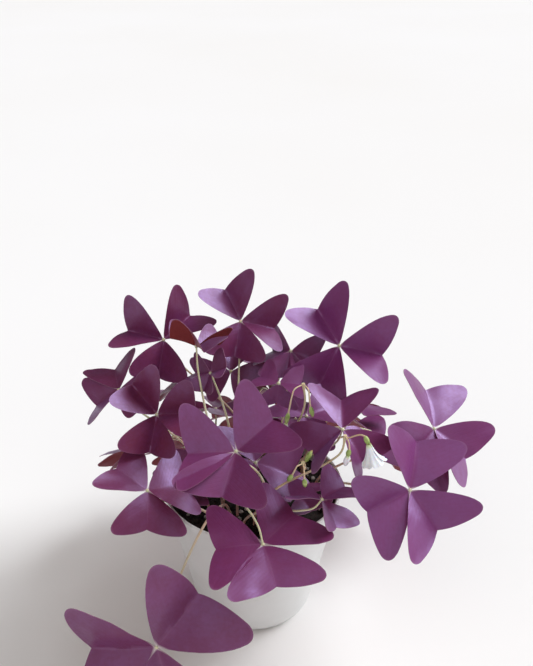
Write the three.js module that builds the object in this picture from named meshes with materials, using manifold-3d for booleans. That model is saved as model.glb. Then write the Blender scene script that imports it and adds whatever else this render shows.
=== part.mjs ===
// Potted purple shamrock (Oxalis triangularis) in a plain white pot.
// Millimetres, +Z up. The origin is the middle of the pot's flat base; the fullest side faces -Y.
import * as THREE from 'three';
import { mergeVertices } from 'three/addons/utils/BufferGeometryUtils.js';
import Module from 'manifold-3d';

const wasm = await Module();
wasm.setup();

// ---------------------------------------------------------------- driving dimensions
const POT_HEIGHT = 100;
const POT_RIM_RADIUS = 60;
const POT_SHOULDER_RADIUS = 42;    // where the straight wall meets the rounded foot
const POT_SHOULDER_HEIGHT = 14;
const POT_BASE_RADIUS = 31;        // flat disc that stands on the table
const POT_WALL = 2.2;
const POT_FLOOR = 3;
const POT_FOOT_TUCK = 2;          // how far the foot's curve pulls in below the shoulder
const POT_CURVE_STEPS = 4;
const SOIL_TOP = 92;
const GAP = 0.3;                   // clearance kept between touching pieces
const LEAF_THICKNESS = 0.7;
const STALK_RADIUS = 1.0;
const HUB_RADIUS = 1.7;            // the pale knuckle where three leaflets meet their stalk
const FLOWER_STALK_RADIUS = 0.9;
const NODE_RADIUS = 2.2;           // the knot at a flower stalk's top
const PEDICEL_RADIUS = 0.6;

const POT_SIDES = 36;
const STALK_SIDES = 5;
const STALK_STEPS = 8;
const PEDICEL_STEPS = 5;
const LOBE_STEPS = 2;
const PETAL_SIDES = 10;
const CALYX_SIDES = 6;
const CALYX_STEPS = 4;

// Room that a stalk keeps from a leaf blade, from another stalk and from the pot, centre to face.
const BLADE_ROOM = 1.9;
const STALK_ROOM = 2.7;
const POT_ROOM = 1.5;

// Where stalks may root, and how far above the rim a leaf has to be to stand on its stalk, not hang.
const ROOT_RADIUS = 46;
const ROOT_MIDDLE = 5;
const HANGING_BELOW = 12;
const LEAST_ARCH = 50;
const CALYX_LAP = 0.8;             // how far a calyx wraps past its pedicel's end and its own length

// ---------------------------------------------------------------- the leaves
// at: the hub, where the leaflets meet.  size: hub to the notch at a leaflet's end.
// lean: [direction that the leaf faces, angle away from level].  fold: each half's rise from the midrib.
// leaflets: [heading, droop] of each midrib, anticlockwise headings from +X.
const LEAVES = [
  { at: [-56, -104, 57], size: 40, lean: [-87, 74], fold: 26, leaflets: [[187, 9], [53, 8], [285, 8]],
    stalk: [[-14, -27, 92.3], [-16, -30, 124], [-38, -62, 108]] },
  { at: [7, -76, 111], size: 28, lean: [-80, 14], fold: 6, leaflets: [[185, 5], [47, -6], [287, 5]] },
  { at: [-9, -48, 158], size: 29, lean: [-98, 30], fold: 19, leaflets: [[180, 0], [36, -13], [253, 3]] },
  { at: [-65, -40, 123], size: 24, lean: [-24, 30], fold: 8, leaflets: [[156, 4], [28, -11], [290, 25]] },
  { at: [-62, 2, 152], size: 25, lean: [-89, 48], fold: 40, leaflets: [[131, -18], [0, -15], [262, -3]] },
  { at: [-91, 33, 152], size: 21, lean: [-127, 30], fold: 22, leaflets: [[191, 17], [104, 6], [330, 8]] },
  { at: [-63, 66, 173], size: 27, lean: [-80, 48], fold: 40, leaflets: [[167, 12], [267, 2], [50, 8]] },
  { at: [-37, 30, 187], size: 18, lean: [70, 30], fold: 40, leaflets: [[187, -8], [34, -12], [290, 8]] },
  { at: [-28, 26, 169], size: 13, lean: [-131, 37], fold: 29, leaflets: [[153, 9], [354, -13], [240, 8]] },
  { at: [-9, 69, 186], size: 25, lean: [-84, 44], fold: 32, leaflets: [[119, -8], [355, 12], [263, 6]] },
  { at: [57, 31, 187], size: 29, lean: [-95, 48], fold: 36, leaflets: [[117, 0], [346, 5], [239, 25]] },
  { at: [56, -26, 159], size: 24, lean: [-56, 8], fold: 24, leaflets: [[90, -11], [199, 45], [324, 45]] },
  { at: [118, -1, 143], size: 29, lean: [-44, 50], fold: 19, leaflets: [[101, 11], [243, 11], [334, -8]] },
  { at: [97, -46, 128], size: 30, lean: [-68, 66], fold: 23, leaflets: [[88, 10], [217, 7], [315, -13]] },
  { at: [43, -49, 123], size: 19, lean: [34, 26], fold: 14, leaflets: [[38, -30], [318, 30], [171, 16]] },
  { at: [17, 8, 172], size: 14, lean: [-80, 20], fold: 12, leaflets: [[0, 0], [265, 62], [150, 10]] },
  { at: [26, 55, 170], size: 19, lean: [-130, 36], fold: 25, leaflets: [[149, 19], [319, 6], [250, 8]] },
  { at: [-16, 58, 152], size: 20, lean: [-95, 30], fold: 20, leaflets: [[205, 5], [325, 5], [85, 5]] },
  { at: [2, -12, 124], size: 24, lean: [-60, 25], fold: 15, leaflets: [[350, 5], [230, 5], [110, 0]] },
  { at: [-37, -16, 104], size: 13, lean: [-100, 4], fold: 12, leaflets: [[255, -3], [15, 0], [135, 3]] },
  { at: [36, 22, 138], size: 20, lean: [-70, 25], fold: 18, leaflets: [[270, 20], [30, 5], [150, 5]] },
  { at: [30, -26, 108], size: 15, lean: [-60, 6], fold: 15, leaflets: [[300, 0], [60, 0], [180, 4]] },
  { at: [-40, -12, 118], size: 18, lean: [-150, 25], fold: 20, leaflets: [[210, 8], [330, 5], [90, 5]] },
  { at: [91, 36, 108], size: 26, lean: [20, 30], fold: 15, leaflets: [[10, 10], [130, 5], [250, 10]] },
  { at: [66, 70, 120], size: 26, lean: [55, 35], fold: 18, leaflets: [[60, 10], [180, 5], [300, 10]] },
  { at: [20, 94, 134], size: 23, lean: [80, 38], fold: 15, leaflets: [[100, 10], [220, 5], [340, 8]] },
  { at: [-10, 112, 82], size: 26, lean: [100, 55], fold: 14, leaflets: [[85, 12], [205, 8], [325, 8]] },
  { at: [-60, 80, 124], size: 26, lean: [125, 35], fold: 18, leaflets: [[130, 10], [250, 5], [10, 10]] },
  { at: [-76, 48, 98], size: 22, lean: [150, 40], fold: 15, leaflets: [[170, 12], [290, 5], [50, 8]] },
  { at: [98, 80, 72], size: 26, lean: [40, 50], fold: 16, leaflets: [[30, 12], [150, 5], [270, 10]] },
  { at: [46, 107, 84], size: 25, lean: [70, 45], fold: 15, leaflets: [[45, 10], [165, 8], [285, 8]] },
  { at: [12, 122, 98], size: 22, lean: [90, 40], fold: 20, leaflets: [[70, 12], [190, 8], [310, 8]] },
  { at: [-56, 102, 58], size: 22, lean: [115, 60], fold: 14, leaflets: [[120, 8], [240, 6], [0, 6]] },
  { at: [-92, 88, 68], size: 22, lean: [135, 50], fold: 18, leaflets: [[150, 10], [270, 5], [30, 8]] },
  { at: [30, 52, 116], size: 21, lean: [90, 15], fold: 18, leaflets: [[30, 8], [150, 8], [270, 8]] },
  { at: [-28, 66, 116], size: 22, lean: [110, 20], fold: 20, leaflets: [[70, 8], [190, 8], [310, 8]] },
];

// A flower stalk ends in a node that carries nodding flowers and buds on thin pedicels.
// flowers: where the calyx sits, which way it points, and whether it is open, a white bud or a green bud.
const FLOWER_STALKS = [
  { top: [56, -44, 166], arrive: [-0.2, 0, 1], flowers: [
    { at: [68, -53, 170], point: [0.3, -0.15, -1], stage: 'open' },
    { at: [58, -51, 160], point: [-0.2, 0, -1], stage: 'bud' },
  ] },
  { top: [31, -45, 147], arrive: [-0.3, 0, 1], flowers: [
    { at: [24, -50, 141], point: [-0.6, 0, -1], stage: 'green' },
    { at: [32, -52, 139], point: [0.1, -0.1, -1], stage: 'green' },
    { at: [34, -42, 151], point: [0.6, 0.3, 0.6], stage: 'green' },
  ] },
  { top: [32, -9, 181], arrive: [-0.25, 0.05, 1], flowers: [
    { at: [22, -16, 160], point: [-0.2, 0, -1], stage: 'bud' },
    { at: [37, -16, 166], point: [0.3, -0.2, -1], stage: 'green' },
  ] },
];

// ---------------------------------------------------------------- finishes
function finish(color, roughness) {
  return new THREE.MeshStandardMaterial({ color, roughness, metalness: 0, side: THREE.DoubleSide });
}
const LEAF_FINISH = finish('#6d3a6e', 0.45);
const POT_FINISH = finish('#e6e6e4', 0.35);
const SOIL_FINISH = finish('#2a211d', 0.95);
const FLOWER_STALK_FINISH = finish('#c9c79a', 0.5);
const PETAL_FINISH = finish('#eceaf2', 0.5);

// ---------------------------------------------------------------- solids
const rad = THREE.MathUtils.degToRad;

function vec([x, y, z]) {
  return new THREE.Vector3(x, y, z);
}

// A closed geometry becomes a solid that can be joined to others.
function solid(geometry) {
  const bare = geometry.clone();
  bare.deleteAttribute('normal');
  bare.deleteAttribute('uv');
  const merged = mergeVertices(bare, 1e-4);
  return new wasm.Manifold(new wasm.Mesh({
    numProp: 3,
    vertProperties: new Float32Array(merged.attributes.position.array),
    triVerts: new Uint32Array(merged.index.array),
  }));
}

function joined(geometries) {
  const whole = geometries.map(solid).reduce((sum, piece) => sum.add(piece));
  const { vertProperties, triVerts } = whole.getMesh();
  const geometry = new THREE.BufferGeometry();
  geometry.setAttribute('position', new THREE.BufferAttribute(new Float32Array(vertProperties), 3));
  geometry.setIndex(new THREE.BufferAttribute(new Uint32Array(triVerts), 1));
  geometry.computeVertexNormals();
  return geometry;
}

function tube(curve, radius, steps) {
  const corners = Array.from({ length: STALK_SIDES }, (_, i) => {
    const angle = (i / STALK_SIDES) * 2 * Math.PI;
    return new THREE.Vector2(radius * Math.cos(angle), radius * Math.sin(angle));
  });
  return new THREE.ExtrudeGeometry(new THREE.Shape(corners), { extrudePath: curve, steps });
}

function ball(radius, at) {
  return new THREE.OctahedronGeometry(radius, 0).translate(at.x, at.y, at.z);
}

// ---------------------------------------------------------------- pot and soil
function potWallRadius(z) {
  const rise = (z - POT_SHOULDER_HEIGHT) / (POT_HEIGHT - POT_SHOULDER_HEIGHT);
  return POT_SHOULDER_RADIUS + rise * (POT_RIM_RADIUS - POT_SHOULDER_RADIUS);
}

function potGeometry() {
  const foot = new THREE.QuadraticBezierCurve(
    new THREE.Vector2(POT_BASE_RADIUS, 0),
    new THREE.Vector2(POT_SHOULDER_RADIUS - POT_FOOT_TUCK, 0),
    new THREE.Vector2(POT_SHOULDER_RADIUS, POT_SHOULDER_HEIGHT),
  ).getPoints(POT_CURVE_STEPS);
  const innerFoot = new THREE.QuadraticBezierCurve(
    new THREE.Vector2(POT_SHOULDER_RADIUS - POT_WALL, POT_SHOULDER_HEIGHT),
    new THREE.Vector2(POT_SHOULDER_RADIUS - POT_FOOT_TUCK - POT_WALL, POT_FLOOR),
    new THREE.Vector2(POT_BASE_RADIUS - POT_WALL, POT_FLOOR),
  ).getPoints(POT_CURVE_STEPS);
  const rim = [
    new THREE.Vector2(POT_RIM_RADIUS, POT_HEIGHT - POT_WALL / 2),
    new THREE.Vector2(POT_RIM_RADIUS - POT_WALL / 2, POT_HEIGHT),
    new THREE.Vector2(POT_RIM_RADIUS - POT_WALL, POT_HEIGHT - POT_WALL / 2),
  ];
  const profile = [new THREE.Vector2(0, 0), ...foot, ...rim, ...innerFoot, new THREE.Vector2(0, POT_FLOOR)];
  return new THREE.LatheGeometry(profile, POT_SIDES).rotateX(Math.PI / 2);
}

function soilGeometry() {
  const inset = POT_WALL + GAP;
  const foot = new THREE.QuadraticBezierCurve(
    new THREE.Vector2(POT_BASE_RADIUS - inset, POT_FLOOR + GAP),
    new THREE.Vector2(POT_SHOULDER_RADIUS - POT_FOOT_TUCK - inset, POT_FLOOR + GAP),
    new THREE.Vector2(POT_SHOULDER_RADIUS - inset, POT_SHOULDER_HEIGHT + GAP),
  ).getPoints(POT_CURVE_STEPS);
  const profile = [
    new THREE.Vector2(0, POT_FLOOR + GAP),
    ...foot,
    new THREE.Vector2(potWallRadius(SOIL_TOP) - inset - GAP, SOIL_TOP),
    new THREE.Vector2(0, SOIL_TOP),
  ];
  return new THREE.LatheGeometry(profile, POT_SIDES).rotateX(Math.PI / 2);
}

// ---------------------------------------------------------------- leaf blades
function leafTurn([toward, angle]) {
  const axis = new THREE.Vector3(-Math.sin(rad(toward)), Math.cos(rad(toward)), 0);
  return new THREE.Quaternion().setFromAxisAngle(axis, rad(angle));
}

// Places a leaflet: X runs along the midrib from the hub, Y out across the blade.
function leafletPlacement(leaf, [heading, droop]) {
  const place = new THREE.Matrix4().makeTranslation(...leaf.at);
  place.multiply(new THREE.Matrix4().makeRotationFromQuaternion(leafTurn(leaf.lean)));
  place.multiply(new THREE.Matrix4().makeRotationZ(rad(heading)));
  place.multiply(new THREE.Matrix4().makeRotationY(rad(droop)));
  return place;
}

// One side of an obtriangular leaflet with a broad rounded lobe, from the hub round to the notch,
// as [along, out] for a leaflet 1 long.
function lobeOutline() {
  const flank = new THREE.QuadraticBezierCurve(
    new THREE.Vector2(0, 0), new THREE.Vector2(0.36, 0.64), new THREE.Vector2(0.92, 1.05));
  const lobe = new THREE.QuadraticBezierCurve(
    new THREE.Vector2(0.92, 1.05), new THREE.Vector2(1.16, 1.16), new THREE.Vector2(1.15, 0.78));
  return [...flank.getPoints(LOBE_STEPS).slice(1), ...lobe.getPoints(LOBE_STEPS).slice(1)];
}
const LOBE = lobeOutline();

// The outline's points with both halves raised from the midrib by the fold.
function foldedPoint(leaf, along, out, lift) {
  const fold = rad(leaf.fold);
  const y = out * Math.cos(fold) * leaf.size;
  return new THREE.Vector3(along * leaf.size, y, Math.abs(out) * Math.sin(fold) * leaf.size + lift);
}

function leafletGeometry(leaf) {
  const ring = [[0, 0], ...LOBE.map((p) => [p.x, p.y]), [1, 0], ...LOBE.map((p) => [p.x, -p.y]).reverse()];
  const count = ring.length;
  const notch = LOBE.length + 1;
  const points = [LEAF_THICKNESS / 2, -LEAF_THICKNESS / 2].flatMap(
    (lift) => ring.map(([along, out]) => foldedPoint(leaf, along, out, lift)));
  const faces = [];
  for (let i = 0; i < count; i++) {
    const next = (i + 1) % count;
    faces.push(i, i + count, next + count, i, next + count, next);
    if (i === notch || next === notch) continue;
    faces.push(notch, i, next, notch + count, next + count, i + count);
  }
  const flat = new Float32Array(points.flatMap((p) => p.toArray()));
  const geometry = new THREE.BufferGeometry();
  geometry.setAttribute('position', new THREE.BufferAttribute(flat, 3));
  geometry.setIndex(faces.reverse());
  return geometry;
}

// The triangles that stand for a blade when room is measured.
function bladeTriangles(leaf) {
  const triangles = [];
  for (const leaflet of leaf.leaflets) {
    const place = leafletPlacement(leaf, leaflet);
    for (const side of [1, -1]) {
      const outline = [new THREE.Vector2(0, 0), ...LOBE];
      const corners = outline.map((p) => foldedPoint(leaf, p.x, side * p.y, 0).applyMatrix4(place));
      const notch = foldedPoint(leaf, 1, 0, 0).applyMatrix4(place);
      for (let i = 1; i < corners.length; i++) {
        triangles.push(new THREE.Triangle(corners[i - 1], corners[i], notch));
      }
    }
  }
  return triangles;
}

// ---------------------------------------------------------------- stalk routes
const SAMPLES = 44;
const blades = LEAVES.map(bladeTriangles);
const routed = [];

function clearOfPot(point) {
  const radius = Math.hypot(point.x, point.y);
  if (point.z > POT_HEIGHT + POT_ROOM) return 1;
  const inside = potWallRadius(point.z) - POT_WALL - POT_ROOM - radius;
  const outside = radius - potWallRadius(point.z) - POT_ROOM;
  return Math.max(inside, outside) / POT_ROOM;
}

// How much room a route has, 1 or more being enough everywhere.
function roomAlong(curve, ownBlade) {
  const points = curve.getPoints(SAMPLES);
  const nearest = new THREE.Vector3();
  let room = Infinity;
  for (let i = 0; i < points.length; i++) {
    const point = points[i];
    room = Math.min(room, clearOfPot(point) < 0 ? 0 : 9);
    for (const other of routed) {
      for (const sample of other) room = Math.min(room, point.distanceTo(sample) / STALK_ROOM);
    }
    for (const blade of blades) {
      if (blade === ownBlade && i > SAMPLES * 0.8) continue;
      for (const triangle of blade) {
        triangle.closestPointToPoint(point, nearest);
        room = Math.min(room, point.distanceTo(nearest) / BLADE_ROOM);
      }
    }
    if (room < 0.3) return room;
  }
  return room;
}

// A stalk springs straight up from the soil, arches out and comes to its hub from behind the blade.
function arch(top, arrive, spread, swing, rise, reach) {
  const bearing = Math.atan2(top.y, top.x) + rad(swing);
  const rootRadius = Math.min(ROOT_RADIUS, spread * Math.hypot(top.x, top.y) + ROOT_MIDDLE);
  const root = new THREE.Vector3(
    rootRadius * Math.cos(bearing), rootRadius * Math.sin(bearing), SOIL_TOP + GAP);
  const height = Math.max(top.z - SOIL_TOP, LEAST_ARCH);
  const low = root.clone().add(new THREE.Vector3(0, 0, rise * height));
  const high = top.clone().addScaledVector(arrive, -reach * top.distanceTo(root));
  return new THREE.CubicBezierCurve3(root, low, high, top);
}

function route(top, arrive, ownBlade) {
  let best = null;
  let bestRoom = -1;
  for (const reach of [0.3, 0.18, 0.42]) {
    for (const rise of [0.55, 0.35, 0.8, 1.1]) {
      for (const spread of [0.3, 0.2, 0.42, 0.1, 0.55]) {
        for (const swing of [0, 15, -15, 30, -30, 50, -50, 75, -75, 110, -110, 150, -150]) {
          const curve = arch(top, arrive, spread, swing, rise, reach);
          const room = roomAlong(curve, ownBlade);
          if (room > bestRoom) {
            best = curve;
            bestRoom = room;
          }
          if (room >= 1) return best;
        }
      }
    }
  }
  return best;
}

function leafStalk(leaf, blade) {
  const top = vec(leaf.at);
  if (leaf.stalk) return new THREE.CubicBezierCurve3(...leaf.stalk.map(vec), top);
  const facing = new THREE.Vector3(0, 0, 1).applyQuaternion(leafTurn(leaf.lean));
  const hangs = top.z < POT_HEIGHT + HANGING_BELOW;
  const lift = hangs ? -2.2 : 0.7;     // a low leaf hangs from a stalk that comes down
  const arrive = facing.add(new THREE.Vector3(0, 0, lift)).normalize();
  return route(top, arrive, blade);
}

// ---------------------------------------------------------------- whole leaves and flowers
function leafGeometry(leaf, curve) {
  const pieces = [tube(curve, STALK_RADIUS, STALK_STEPS), ball(HUB_RADIUS, vec(leaf.at))];
  for (const leaflet of leaf.leaflets) {
    pieces.push(leafletGeometry(leaf).applyMatrix4(leafletPlacement(leaf, leaflet)));
  }
  return joined(pieces);
}

// Radius and length of each calyx.
const BUD_SIZES = { open: [1.8, 3.4], bud: [1.7, 3.4], green: [1.5, 3.6] };

function calyxGeometry(flower) {
  const [radius, length] = BUD_SIZES[flower.stage];
  const down = vec(flower.point).normalize();
  const turn = new THREE.Quaternion().setFromUnitVectors(new THREE.Vector3(0, 1, 0), down);
  const middle = vec(flower.at).addScaledVector(down, length / 2);
  const calyx = new THREE.SphereGeometry(1, CALYX_SIDES, CALYX_STEPS)
    .scale(radius, length / 2 + CALYX_LAP, radius);
  return calyx.applyQuaternion(turn).translate(middle.x, middle.y, middle.z);
}

// A pedicel leaves its node sideways, arches over and comes down into the calyx.
function pedicelGeometry(top, flower) {
  const end = vec(flower.at);
  const down = vec(flower.point).normalize();
  const away = end.clone().sub(vec(top)).setZ(0).normalize();
  const start = vec(top).addScaledVector(away, NODE_RADIUS + GAP);
  const arc = start.distanceTo(end) * 0.45;
  const curve = new THREE.CubicBezierCurve3(
    start,
    start.clone().addScaledVector(away, 0.6 * arc).add(new THREE.Vector3(0, 0, 0.4 * arc)),
    end.clone().addScaledVector(down, -arc),
    end.clone().addScaledVector(down, CALYX_LAP),
  );
  return tube(curve, PEDICEL_RADIUS, PEDICEL_STEPS);
}

function flowerStalkGeometry(stalk, curve) {
  return joined([tube(curve, FLOWER_STALK_RADIUS, STALK_STEPS), ball(NODE_RADIUS, vec(stalk.top))]);
}

function nodGeometry(stalk, flower) {
  return joined([pedicelGeometry(stalk.top, flower), calyxGeometry(flower)]);
}

// Petals stand just clear of their calyx: a furled bud, or an open nodding funnel with a thin wall.
function petalGeometry(flower) {
  const [calyxRadius, calyxLength] = BUD_SIZES[flower.stage];
  const start = calyxLength + CALYX_LAP + GAP;
  const bud = [[0, start], [calyxRadius * 0.8, start], [calyxRadius * 1.2, start + 2],
    [calyxRadius * 0.9, start + 5], [0, start + 6.5]];
  const funnel = [[0, start], [1.3, start], [2.2, start + 3], [4.2, start + 7.5], [7.6, start + 12],
    [7.0, start + 12.4], [3.7, start + 8.2], [1.6, start + 3.6], [0, start + 1.2]];
  const profile = (flower.stage === 'open' ? funnel : bud).map(([r, h]) => new THREE.Vector2(r, h));
  const down = vec(flower.point).normalize();
  const turn = new THREE.Quaternion().setFromUnitVectors(new THREE.Vector3(0, 1, 0), down);
  return new THREE.LatheGeometry(profile, PETAL_SIDES).applyQuaternion(turn).translate(...flower.at);
}

// ---------------------------------------------------------------- the plant
const plant = new THREE.Group();

function add(name, geometry, material) {
  const mesh = new THREE.Mesh(geometry, material);
  mesh.name = name;
  plant.add(mesh);
}

add('pot', potGeometry(), POT_FINISH.clone());
add('soil', soilGeometry(), SOIL_FINISH.clone());

LEAVES.forEach((leaf, i) => {
  const curve = leafStalk(leaf, blades[i]);
  routed.push(curve.getPoints(SAMPLES));
  add(`leaf_${String(i + 1).padStart(2, '0')}`, leafGeometry(leaf, curve), LEAF_FINISH.clone());
});

FLOWER_STALKS.forEach((stalk, i) => {
  const curve = route(vec(stalk.top), vec(stalk.arrive).normalize(), null);
  routed.push(curve.getPoints(SAMPLES));
  add(`flower_stalk_${i + 1}`, flowerStalkGeometry(stalk, curve), FLOWER_STALK_FINISH.clone());
  stalk.flowers.forEach((flower, k) => {
    const name = `flower_${i + 1}${'abc'[k]}`;
    add(`${name}_pedicel`, nodGeometry(stalk, flower), FLOWER_STALK_FINISH.clone());
    if (flower.stage !== 'green') add(`${name}_petals`, petalGeometry(flower), PETAL_FINISH.clone());
  });
});

export default plant;
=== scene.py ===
import math
import random
from itertools import combinations

import bmesh
import bpy
import numpy as np
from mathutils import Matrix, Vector, noise


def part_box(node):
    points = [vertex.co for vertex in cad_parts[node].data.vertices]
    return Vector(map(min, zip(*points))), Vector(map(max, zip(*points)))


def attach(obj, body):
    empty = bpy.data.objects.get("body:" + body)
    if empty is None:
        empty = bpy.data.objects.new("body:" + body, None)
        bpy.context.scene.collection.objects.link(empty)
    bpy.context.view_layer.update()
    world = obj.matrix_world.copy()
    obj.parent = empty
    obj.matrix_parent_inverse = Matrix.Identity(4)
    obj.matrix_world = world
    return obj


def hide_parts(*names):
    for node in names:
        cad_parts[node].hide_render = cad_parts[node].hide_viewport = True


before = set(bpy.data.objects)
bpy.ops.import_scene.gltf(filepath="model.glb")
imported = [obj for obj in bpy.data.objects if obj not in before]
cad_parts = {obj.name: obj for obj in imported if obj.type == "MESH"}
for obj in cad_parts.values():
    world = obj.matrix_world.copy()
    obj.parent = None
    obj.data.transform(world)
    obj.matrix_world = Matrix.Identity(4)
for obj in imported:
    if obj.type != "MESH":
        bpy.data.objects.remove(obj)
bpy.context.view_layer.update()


# ---------------------------------------------------------------- pot
# A plain tapered pot of slip-cast white ceramic, all one wall of even thickness, with a soft
# rounded lip and a rounded foot. The glaze is satin and a little uneven, as dipped glaze is.
RIM_RADIUS, POT_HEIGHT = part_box("pot")[1].x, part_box("pot")[1].z
POT_SHOULDER_RADIUS, POT_SHOULDER_HEIGHT = 0.7 * RIM_RADIUS, 0.14 * POT_HEIGHT
POT_BASE_RADIUS = 0.031
POT_WALL = 0.0022
POT_FLOOR = 0.003
ROUND_SIDES = 160
FOOT_STEPS, WALL_STEPS, LIP_STEPS, INNER_FOOT_STEPS = 14, 12, 8, 10
OUTER_WALL = slice(3, 2 + FOOT_STEPS + WALL_STEPS)    # the profile's stretch from the foot to below the lip
GLAZE_LIGHT, GLAZE_SHADE = "#eceeee", "#dfe0df"


def paint(colour):
    """A colour written as #rrggbb, as the linear RGBA that a shader takes."""
    parts = [int(colour[i:i + 2], 16) / 255 for i in (1, 3, 5)]
    return [p / 12.92 if p <= 0.04045 else ((p + 0.055) / 1.055) ** 2.4 for p in parts] + [1.0]


def node(tree, kind, **values):
    """Adds a node. Each value is a setting of it, a number for its input, or a socket to link."""
    made = tree.nodes.new("ShaderNode" + kind)
    for key, value in values.items():
        if hasattr(made, key):
            setattr(made, key, value)
            continue
        socket = made.inputs[key.replace("_", " ")]
        if isinstance(value, bpy.types.NodeSocket):
            tree.links.new(value, socket)
        else:
            socket.default_value = value
    return made


def blended(tree, share, first, second):
    """The mix of two colours by a share, each given as a #rrggbb colour or a socket."""
    mix = tree.nodes.new("ShaderNodeMix")
    mix.data_type = "RGBA"
    for socket, value in zip((mix.inputs[0], mix.inputs[6], mix.inputs[7]), (share, first, second)):
        if isinstance(value, bpy.types.NodeSocket):
            tree.links.new(value, socket)
        else:
            socket.default_value = paint(value) if isinstance(value, str) else value
    return mix.outputs[2]


def spread(tree, value, low, high, start=0.0, end=1.0):
    """A value between low and high, moved to run from start to end."""
    moved = node(tree, "MapRange", Value=value, From_Min=low, From_Max=high, To_Min=start, To_Max=end)
    return moved.outputs[0]


def maths(tree, operation, *values):
    """The result of a sum on numbers and sockets."""
    made = node(tree, "Math", operation=operation)
    for socket, value in zip(made.inputs, values):
        if isinstance(value, bpy.types.NodeSocket):
            tree.links.new(value, socket)
        else:
            socket.default_value = value
    return made.outputs[0]


def finish_of(name):
    """A new material, with its node tree and its Principled shader."""
    material = bpy.data.materials.new(name)
    material.use_nodes = True
    return material, material.node_tree, material.node_tree.nodes["Principled BSDF"]


def speckle_group():
    """Fine unevenness at two scales, for glaze, soil and stalks alike."""
    tree = bpy.data.node_groups.new("surface_unevenness", "ShaderNodeTree")
    tree.interface.new_socket("Broad Scale", in_out="INPUT", socket_type="NodeSocketFloat")
    tree.interface.new_socket("Fine Scale", in_out="INPUT", socket_type="NodeSocketFloat")
    tree.interface.new_socket("Broad", in_out="OUTPUT", socket_type="NodeSocketFloat")
    tree.interface.new_socket("Fine", in_out="OUTPUT", socket_type="NodeSocketFloat")
    given = tree.nodes.new("NodeGroupInput")
    out = tree.nodes.new("NodeGroupOutput")
    place = node(tree, "TexCoord").outputs["Object"]
    for label in ("Broad", "Fine"):
        grain = node(tree, "TexNoise", Vector=place, Scale=given.outputs[label + " Scale"], Detail=3.0)
        tree.links.new(spread(tree, grain.outputs["Fac"], 0.3, 0.7), out.inputs[label])
    return tree


UNEVENNESS = speckle_group()


def unevenness(tree, broad, fine):
    """The broad and the fine unevenness, at these two scales."""
    made = tree.nodes.new("ShaderNodeGroup")
    made.node_tree = UNEVENNESS
    made.inputs["Broad Scale"].default_value = broad
    made.inputs["Fine Scale"].default_value = fine
    return made.outputs["Broad"], made.outputs["Fine"]


def bumped(tree, shader, height, depth):
    """Feeds a height to the shader as a bump of that depth in metres."""
    bump = node(tree, "Bump", Height=height, Distance=depth, Strength=1.0)
    tree.links.new(bump.outputs[0], shader.inputs["Normal"])


def piece(name, points, faces, finishes, finish_index=None, values=None, crease=50):
    """A mesh object with outward normals, smooth except at edges sharper than crease degrees."""
    mesh = bpy.data.meshes.new(name)
    mesh.from_pydata([tuple(p) for p in points], [], faces)
    for material in finishes:
        mesh.materials.append(material)
    if finish_index is not None:
        mesh.polygons.foreach_set("material_index", finish_index)
    for key, numbers in (values or {}).items():
        mesh.attributes.new(key, "FLOAT", "POINT").data.foreach_set("value", numbers)
    work = bmesh.new()
    work.from_mesh(mesh)
    bmesh.ops.recalc_face_normals(work, faces=work.faces)
    work.to_mesh(mesh)
    work.free()
    mesh.polygons.foreach_set("use_smooth", [True] * len(mesh.polygons))
    mesh.set_sharp_from_angle(angle=math.radians(crease))
    obj = bpy.data.objects.new(name, mesh)
    bpy.context.scene.collection.objects.link(obj)
    return obj


def stands_for(obj, node_name):
    """The piece replaces its CAD node and rides on the one body."""
    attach(obj, "root")
    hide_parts(node_name)


def bend(start, control, end, steps):
    """Points of a quadratic curve from just after start to end."""
    shares = [(i + 1) / steps for i in range(steps)]
    return [tuple((1 - t) ** 2 * a + 2 * t * (1 - t) * b + t * t * c
                  for a, b, c in zip(start, control, end)) for t in shares]


def lathed(profile, sides):
    """Turns a profile of (radius, height) round Z. Its first and last points lie on the axis."""
    points = [Vector((0, 0, profile[0][1])), Vector((0, 0, profile[-1][1]))]
    faces = []
    rings = profile[1:-1]
    for radius, height in rings:
        for i in range(sides):
            angle = 2 * math.pi * i / sides
            points.append(Vector((radius * math.cos(angle), radius * math.sin(angle), height)))
    for i in range(sides):
        j = (i + 1) % sides
        faces.append((0, 2 + j, 2 + i))
        last = 2 + (len(rings) - 1) * sides
        faces.append((1, last + i, last + j))
        for k in range(len(rings) - 1):
            a, b = 2 + k * sides, 2 + (k + 1) * sides
            faces.append((a + i, a + j, b + j, b + i))
    return points, faces


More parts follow.
